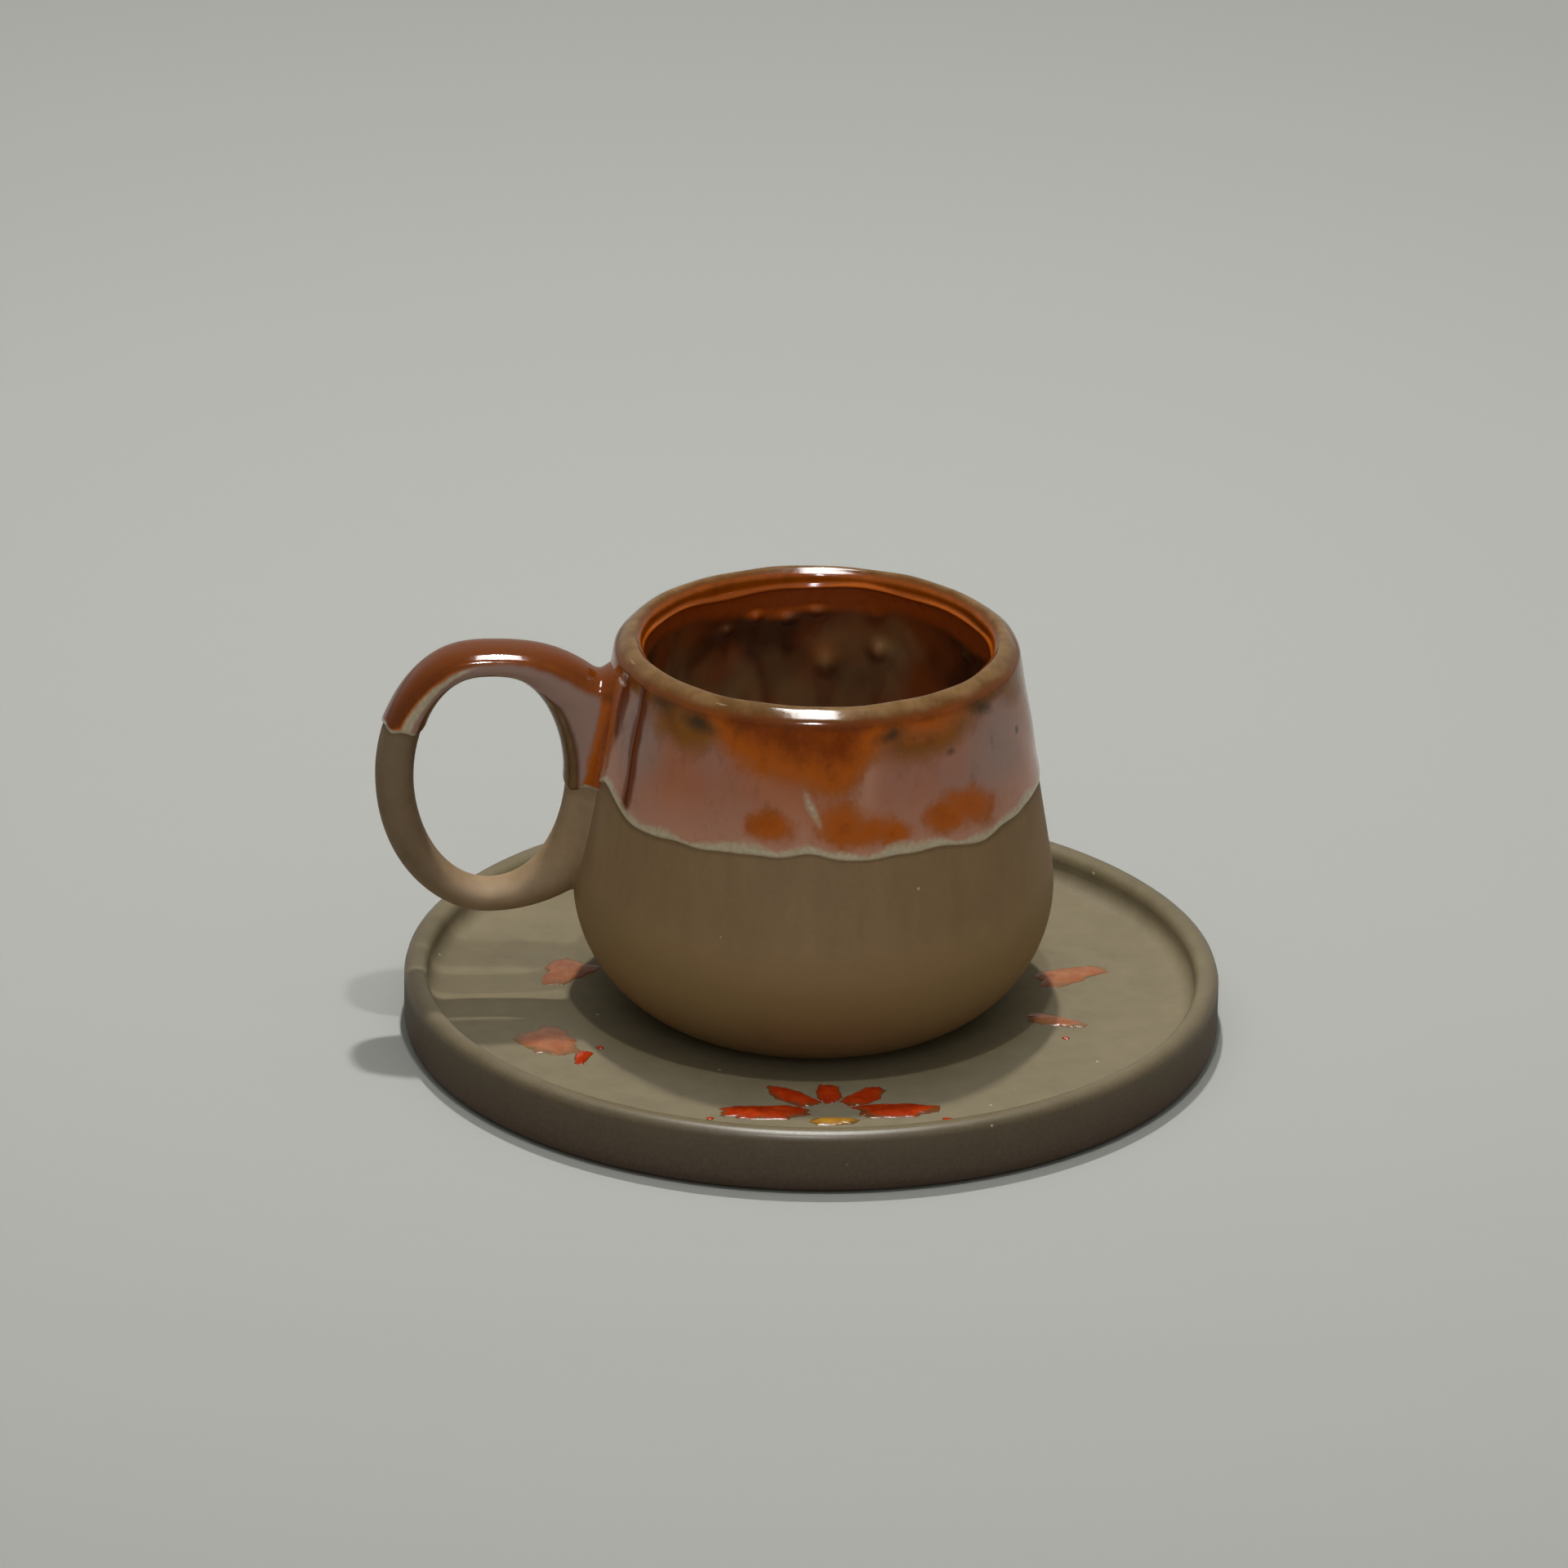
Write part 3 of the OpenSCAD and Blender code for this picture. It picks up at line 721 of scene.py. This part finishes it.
def liner_coat():
    """Poured liner: a turned closed skin on the bowl, with lumps and soft folds that fade at the floor.

    A thrown spiral h sin(360 r / p - a) of pitch p shows through on the floor.
    """
    bowl = resample(np.concatenate([
        arc(lip_in_c, lip_in_round, 150, 180 + lean_deg, 6), arc(bowl_c, bowl_curve_r, lean_deg, -90, 30),
        [[0, cup_floor_t]]]), liner_step)
    normal = line_normals(bowl)
    top = int(np.argmin(np.abs(bowl[:, 1] - (wrap_z + liner_overlap))))
    face, face_n = bowl[top:], normal[top:]
    back = (face - face_n * liner_back)[::-liner_back_stride]
    front = face + face_n * glaze_t
    profile = np.concatenate([[[0, back[0, 1]]], back[1:], front[:-1], [[0, front[-1, 1]]]]) + [0, dish_z]
    grid, angle, poles = turned(profile, liner_columns)
    a = np.radians(angle)
    shown = grid[len(back) - 1:]
    height = shown[..., 2] - dish_z
    radius = np.hypot(shown[..., 0], shown[..., 1])
    fold = waves(angle + 0.9 * height, [(0.5, 7, 10), (0.4, 11, 70)]) * np.cos(0.35 * height + 3 * a)
    fold += 0.5 * waves(angle - 1.7 * height, [(0.5, 5, 200), (0.25, 13, 20)])
    lift = fold_rise * fold * smooth(4, 20, radius) * smooth(1, 12, wrap_z - height)
    for at, up, half_w, half_h, rise in liner_lumps:
        across = liner_mark_r * np.radians(turn_from(at, angle))
        lift += rise * bell(across, 0, half_w) * bell(height, up, half_h)
    spiral = spiral_rise * np.sin(2 * np.pi * radius / spiral_pitch - a) * smooth(0.5, 4, radius)
    shown[..., 0] -= lift * np.cos(a)
    shown[..., 1] -= lift * np.sin(a)
    shown[..., 2] += spiral * (1 - smooth(15, 21, radius))
    points, faces = close_turned(grid, poles)
    turn = np.degrees(np.arctan2(points[:, 1], points[:, 0]))
    height = points[:, 2] - dish_z
    make_piece("liner_coat", points, faces, liner, "cup", ["liner_glaze"],
               {"depth": wrap_z - height, "slate": patches(turn, height, liner_mark_r, slate_and_sheen_spots)})


# Ring handle: its hole and outline, as distance from the axis and height above the foot
wall_at_hole = float(wall_r(np.array(hole_z)))
hole_s = wall_at_hole + web_t + hole_w / 2
ring_out = hole_w / 2 + strap_side_t
ring_in = hole_s - wall_at_hole + root_depth
ring_up = hole_h / 2 + strap_top_t
ring_down = hole_h / 2 + strap_bottom_t
# The crown is flattened by a share of its height, over a half-width in ring degrees
crown_flat = 0.042
crown_half = 22
# What the bottom of the ring loses in squareness, in width and in the fillet at the wall
under_square = 0.5
under_narrow = 0.18
under_fillet = 1.5
lute_fillet = 2.0


def surface_normals(points):
    """Unit normals of a grid of points that closes round its columns, from central differences."""
    along = np.gradient(points, axis=0)
    round_ = np.roll(points, -1, axis=1) - np.roll(points, 1, axis=1)
    n = np.cross(round_, along)
    return n / np.linalg.norm(n, axis=-1, keepdims=True)


def wall_gap(points):
    """Distance of points outside the cup's wall, below 0 inside it."""
    height = np.minimum(points[..., 2] - dish_z, cup_h)
    return (np.hypot(points[..., 0], points[..., 1]) - wall_r(height)) * wall_n[0]


def seat(points, depth):
    """Points that lie deeper in the cup's wall than a depth, brought out to that depth."""
    r = np.hypot(points[..., 0], points[..., 1])
    least = wall_r(np.minimum(points[..., 2] - dish_z, cup_h)) - depth
    push = np.maximum(1, least / np.maximum(r, 1))[..., None]
    return points * np.concatenate([push, push, np.ones_like(push)], -1)


def ring_surface(ring):
    """Clay surface of the ring handle at ring angles in degrees: rows along the ring, columns round it.

    The section is a superellipse between the hole's oval and the outline's oval, rounder and narrower at
    the bottom, and both ovals are flattened at the crown. It starts outwards, and its front, towards -Y,
    is at 90 degrees. Near the wall the surface swells along its normal by (R - gap)^2 / 1.6 R, a fillet
    with a slight crease at the wall.
    """
    a = np.radians(ring)[:, None]
    t = np.radians(np.linspace(0, 360, strap_columns, endpoint=False))[None, :]
    reach = np.where(np.cos(a) > 0, ring_out, ring_in), np.where(np.sin(a) > 0, ring_up, ring_down)
    crown = 1 - crown_flat * bell(ring[:, None], 90, crown_half)
    under = smooth(0.2, 0.9, -np.sin(a))
    inner = np.concatenate([hole_s + hole_w / 2 * np.cos(a), hole_z + hole_h / 2 * np.sin(a) * crown], 1)
    edge = np.concatenate([hole_s + reach[0] * np.cos(a), hole_z + reach[1] * np.sin(a) * crown], 1)
    way = (edge - inner) / np.linalg.norm(edge - inner, axis=1, keepdims=True)
    gap = np.maximum(0, edge[:, 0] - wall_r(np.minimum(edge[:, 1], cup_h)))
    near = np.maximum(0, 1 - gap / lute_reach) ** 2
    outer = edge + way * (lute_reach * np.maximum(0, np.sin(a[:, 0])) * near)[:, None]
    middle, half_t = (inner + outer) / 2, np.linalg.norm(outer - inner, axis=1)[:, None] / 2
    bend = 2 / (strap_square - under_square * under)
    u = half_t * blunt(np.cos(t), bend)
    v = -strap_w / 2 * (1 - under_narrow * under) * blunt(np.sin(t), bend)
    across = middle[:, :1] + way[:, :1] * u
    points = np.stack([-across, v, dish_z + middle[:, 1:] + way[:, 1:] * u], -1)
    fillet = lute_fillet - under_fillet * under * smooth(-0.2, 0.5, np.cos(t))
    short = np.clip(fillet - wall_gap(points), 0, fillet + 0.5)
    swell = short**2 / (1.6 * fillet)
    return points + surface_normals(points) * swell[..., None]


def handle():
    """Ring handle: one closed sweep round the hole, seated in the cup's wall."""
    ring = np.linspace(0, 360, ring_rows, endpoint=False)
    wrapped = ring_surface(np.concatenate([ring[-2:] - 360, ring, ring[:2] + 360]))[2:-2]
    points = seat(wrapped, seat_depth)
    # The side away from the cup takes the darker wall colour
    wall = np.broadcast_to(0.6 * smooth(-0.1, 0.9, np.cos(np.radians(ring)))[:, None], points.shape[:2])
    make_piece("handle_clay", points.reshape(-1, 3), [grid_quads(ring_rows, strap_columns, True)],
               handle_stoneware_painted_light, "cup", ["ring_handle"], {"wall": wall})


# Handle coat, in ring degrees: the range of its rows, and its two ends with their lead on the outside
ring_range = (15, 194)
low_end_at, low_end_lead = 25, 3.5
high_end_at, high_end_lead = 181, 4
low_end_waves = [(1.2, 2, 40), (0.8, 5, 10)]
high_end_waves = [(1.4, 2, 200), (1.0, 5, 60)]
ring_mm_per_deg = 0.36
# Ring angle, then degrees round the strap from its outside: where the rust ends, and where the hole's
# face starts
rust_ends = [(25, 74), (45, 82), (60, 84), (90, 66), (120, 68), (140, 60), (165, 10)]
hole_face_starts = [(25, 106), (60, 112), (90, 104), (130, 136)]
# Degrees round the strap in which the rust gives way
rust_fade = 18


def handle_coat():
    """Coat on the upper ring: the clay surface lifted by the glaze between two wavy ends, with a back.

    It pools where the gap to the wall is small. It is rusty brown outside, lilac on the sides, partly as
    painted sheen, and tan on the hole's face. On the half away from the cup it breaks cream where the
    rust ends.
    """
    ring = np.linspace(*ring_range, ring_coat_rows)
    clay = ring_surface(ring)
    normal = surface_normals(clay)
    section = np.linspace(0, 360, strap_columns, endpoint=False)[None, :]
    outward = np.cos(np.radians(section))
    low_end = low_end_at - low_end_lead * outward + waves(section, low_end_waves)
    high_end = high_end_at - high_end_lead * outward + waves(section, high_end_waves)
    e = np.minimum(ring[:, None] - low_end, high_end - ring[:, None]) * ring_mm_per_deg
    gap = np.maximum(wall_gap(clay), 0)
    pool = 0.4 * np.clip(e / ring_roll[0], 0, 1) * bell(gap, 0, 1.6)
    lift = np.maximum(rolled_edge(e, *ring_roll), -0.5) + pool
    face = seat(clay + normal * lift[..., None], seat_depth - 0.3)
    thinned = slice(None, None, -ring_back_stride)
    back = seat(clay[thinned] - normal[thinned] * dip_back, seat_depth - 0.2)
    points = np.concatenate([face, back])

    at = np.concatenate([ring, ring[thinned]])[:, None]
    e = np.concatenate([e, e[thinned]])
    gap = np.concatenate([gap, gap[thinned]])
    away = np.minimum(section, 360 - section)
    past_rust = away - between(at, rust_ends)
    hole_face = smooth(0, 20, away - between(at, hole_face_starts))
    far = 1 - smooth(60, 85, at)
    lost = np.clip(past_rust / rust_fade - 0.2 + 0.3 * far, 0, 2)
    browned = -0.25 - (0.8 + 1.7 * far) * lost - 2 * np.clip(1 - e / 1.2, 0, 1)
    tan_strip = 3.2 * smooth(108, 138, at) - 2 - np.abs(away - 142) / 9
    break_w = 14 - 6 * smooth(35, 80, at)
    cream_break = 0.9 - 1.3 * np.abs(past_rust - 15) / break_w - 1.4 * smooth(62, 100, at)
    fields = {
        "rust": np.maximum(np.clip(0.4 - past_rust / rust_fade, -2, 1.6), 1 - gap / 1.3),
        # Lilac past the rust: the lustre's tint with painted sheen
        "lilac": np.clip(past_rust / rust_fade, -1, 1.2),
        "gold": -1.6 - 2 * outward,
        "run": -1.0,
        "speck": 1 - np.hypot((at - 172) * ring_mm_per_deg, (section - 60) * 0.06) / 1.1,
        "cream": np.maximum(1 - e / 0.6, cream_break),
        "blush": -0.6,
        "lip": np.maximum.reduce([browned, -2 + 2.4 * hole_face, tan_strip]),
    }
    fields = {key: np.broadcast_to(value, e.shape) for key, value in fields.items()}
    make_piece("handle_coat", points.reshape(-1, 3), [grid_quads(len(points), strap_columns, True)],
               rust_dip, "cup", ["handle_glaze"], fields)


# Glaze dabs on the dish
dab_t = 0.45
stroke_t = 0.4
spatter_t = 0.25
dab_sink = 0.1
dab_lobes = 3
dab_blunt = 0.8
# Heights and counts of the waves in a dab's outline
dab_waves = [(0.06, 3), (0.05, 5), (0.04, 8), (0.03, 13), (0.025, 19)]
petal_inset = 12.0
petal_angle = -90.0
petal_first_turn = 92.0
petal_step = 44.0
petal_long = (12, 8, 6.5, 9, 13)
petal_w = (4.8, 4.0, 3.6, 4.0, 4.8)
petal_eye_gap = 3.2
eye_drop = 3.2
# Broad dabs: angle round the dish, distance in from the floor's edge, turn and size
broad_dabs = [(-158, 11.5, -63, (10, 8)), (166, 17.5, 236, (9.5, 6.5)), (7, 15.5, 27, (11, 5.5)),
              (-18, 17.5, -26, (9, 3.4))]
# Spatters: angle round the dish, distance in from the floor's edge and size
spatters = [(-70, 6, 1.6), (-112, 7, 1.2), (-97, 18.5, 1.0), (-150, 17, 1.3), (-26, 14, 1.1)]


def dab(place, turn, size, lobe_depth, height, seed):
    """One dab: a low dome z = h (1 - u^2)^0.7 over a blunt lobed oval, u from 0 at its middle to 1."""
    columns, rows = 64, 10
    t = np.radians(np.linspace(0, 360, columns, endpoint=False))[None, :]
    u = np.sin(np.radians(np.linspace(90, 8, rows)))[:, None]
    starts = np.random.default_rng(seed).uniform(0, 360, len(dab_waves))
    wavy = waves(np.degrees(t), [(*wave, start) for wave, start in zip(dab_waves, starts)])
    k = 1 + u**2 * (lobe_depth * np.cos(dab_lobes * t) + wavy)
    x = size[0] / 2 * k * blunt(np.cos(t), dab_blunt) * u
    y = size[1] / 2 * k * blunt(np.sin(t), dab_blunt) * u
    z = height * (1 - u**2) ** 0.7 * (1 + 0.15 * u * np.sin(3 * t + seed))
    foot = np.stack([x[0], y[0], np.full(columns, -dab_sink)], -1)[None]
    grid = np.concatenate([foot, np.stack([x, y, z], -1)])
    poles = np.array([[0, 0, -dab_sink], [0, 0, height]])
    edge = np.concatenate([np.ones((1, columns)), u + 0 * t])
    c, s = polar(1, turn)
    points, faces = close_turned(grid, poles)
    points = points @ np.array([[c, s, 0], [-s, c, 0], [0, 0, 1]]) + [*place, dish_z]
    return points, faces, np.concatenate([edge.ravel(), [1.0, 0.0]])


def on_dish(angle, inset):
    """Point on the dish floor at an angle round it and a distance in from the floor's edge."""
    return polar(dish_floor_r - inset, angle)


def dab_piece(name, rows, material, node):
    """Joins dabs into one piece."""
    points, faces, edge = [], [], []
    for row in rows:
        dab_points, dab_faces, dab_edge = dab(*row)
        faces += [part + sum(map(len, points)) for part in dab_faces]
        points.append(dab_points)
        edge.append(dab_edge)
    make_piece(name, np.concatenate(points), faces, material, "saucer", [node],
               {"edge": np.concatenate(edge)})


def red_dabs():
    """Five brushed petals round an eye near the front, a stroke beside the left dab and a few spatters."""
    eye = on_dish(petal_angle, petal_inset)
    rows = []
    for k, (length, width) in enumerate(zip(petal_long, petal_w)):
        turn = petal_angle + petal_first_turn + petal_step * k
        place = eye + polar(petal_eye_gap + length / 2, turn)
        rows.append((place, turn, (length, width), 0.05, dab_t, 3 + k))
    rows.append((on_dish(-148, 13), -108, (5, 2.2), 0.08, stroke_t, 11))
    for k, (angle, inset, size) in enumerate(spatters):
        rows.append((on_dish(angle, inset), 40 * k, (size, 0.8 * size), 0.1, spatter_t, 20 + k))
    dab_piece("red_petals", rows, red_brush, "red_glaze_dabs")


def salmon_dabs():
    """Broad dabs left and right of the cup."""
    rows = [(on_dish(angle, inset), turn, size, 0.14, dab_t, 31 + k)
            for k, (angle, inset, turn, size) in enumerate(broad_dabs)]
    dab_piece("salmon_dabs", rows, salmon_brush, "salmon_glaze_dabs")


def amber_dab():
    """Amber eye below the petals."""
    rows = [(on_dish(petal_angle, petal_inset - eye_drop), 0, (7, 2.6), 0.1, stroke_t, 41)]
    dab_piece("amber_eye", rows, amber_brush, "amber_glaze_dab")


saucer()
red_dabs()
salmon_dabs()
amber_dab()
cup()
outer_coat()
liner_coat()
handle()
handle_coat()

# Floor, light and camera

floor_half = 3.0
floor_mesh = bpy.data.meshes.new("floor")
corners = floor_half * np.array([(-1, -1, 0), (1, -1, 0), (1, 1, 0), (-1, 1, 0)])
floor_mesh.from_pydata(corners.tolist(), [], [(0, 1, 2, 3)])
floor = bpy.data.objects.new("floor", floor_mesh)
bpy.context.scene.collection.objects.link(floor)
paper, paper_tree, paper_shader = new_material("pale_paper")
connect(paper_tree, paper_shader, {"Base Color": "#aeafaa", "Roughness": 0.9, "Specular IOR Level": 0.0})
floor_mesh.materials.append(paper)

# Two small lamps overhead give crisp shadows. Only gloss shows the other two: a panel that widens their
# glare and a small lamp in front for one more glint. All face a point on the floor behind the cup.
aim = Vector((0, 0.3, 0))
lamps = [("lamp_behind", (0, 0.158, 0.75), (0.03, 0.026), 3.5, True),
         ("lamp_front", (0, -0.205, 0.75), (0.03, 0.026), 1.4, True),
         ("glare_panel", (0, -0.02, 0.75), (0.19, 0.48), 16.3, False),
         ("glint_lamp", (-0.06, -0.52, 0.5), (0.05, 0.05), 5, False)]
for lamp_name, lamp_place, lamp_size, watts, lights_matte in lamps:
    light = bpy.data.lights.new(lamp_name, "AREA")
    light.shape = "RECTANGLE"
    light.size, light.size_y = lamp_size
    light.energy = watts
    lamp = bpy.data.objects.new(lamp_name, light)
    lamp.location = lamp_place
    lamp.rotation_euler = (aim - lamp.location).to_track_quat("-Z", "Y").to_euler()
    lamp.visible_diffuse = lights_matte
    bpy.context.scene.collection.objects.link(lamp)

# Room: a ceiling and a front that fill softly. Low down, the camera and gloss see a pale backdrop instead.
world = bpy.data.worlds.new("pale_room")
world.use_nodes = True
bpy.context.scene.world = world
room = world.node_tree
ray = add(room, "LightPath").node.outputs
seen = add(room, "Math", {0: ray["Is Camera Ray"], 1: ray["Is Glossy Ray"]}, operation="MAXIMUM")
seen = add(room, "Math", {0: seen, 1: ray["Is Transmission Ray"]}, operation="MAXIMUM")
way = add(room, "SeparateXYZ", {0: add(room, "TexCoord", out="Generated")}).node.outputs
front = add(room, "MapRange", {"Value": way["Y"], "From Min": -0.45, "From Max": -0.95}, **SOFT)
fill = add(room, "Mix", {FACTOR: front, FIRST: "#222222", SECOND: "#b4b4b2"}, **MIX)
low = add(room, "Mix", {FACTOR: seen, FIRST: fill, SECOND: "#b4b5b0"}, **MIX)
overhead = add(room, "MapRange", {"Value": way["Z"], "From Min": 0.35, "From Max": 0.95}, **SOFT)
shade = add(room, "Mix", {FACTOR: overhead, FIRST: low, SECOND: "#c2c2bf"}, **MIX)
connect(room, room.nodes["Background"], {"Color": shade})

# Camera, fitted to the photo
lens_mm = 262.5
sensor_mm = 36.0
frame_px = 1920
centre_px = (997.8, 1251.2)
view_azimuth = -4.5
view_elevation = 24.28
view_roll = 1.043
view_distance = 1.6891
focal_px = lens_mm / sensor_mm * frame_px
camera_data = bpy.data.cameras.new("camera")
camera_data.lens = lens_mm
camera_data.sensor_width = sensor_mm
camera = bpy.data.objects.new("camera", camera_data)
bpy.context.scene.collection.objects.link(camera)
turn_left = math.atan((centre_px[0] - frame_px / 2) / focal_px)
turn_up = math.atan((centre_px[1] - frame_px / 2) / focal_px)
camera.matrix_world = (
    Matrix.Rotation(math.radians(view_azimuth), 4, "Z")
    @ Matrix.Rotation(math.radians(90 - view_elevation), 4, "X")
    @ Matrix.Translation((0, 0, view_distance))
    @ Matrix.Rotation(turn_left, 4, "Y")
    @ Matrix.Rotation(turn_up, 4, "X")
    @ Matrix.Rotation(math.radians(view_roll), 4, "Z"))
bpy.context.scene.camera = camera
bpy.context.scene.view_settings.view_transform = "Standard"
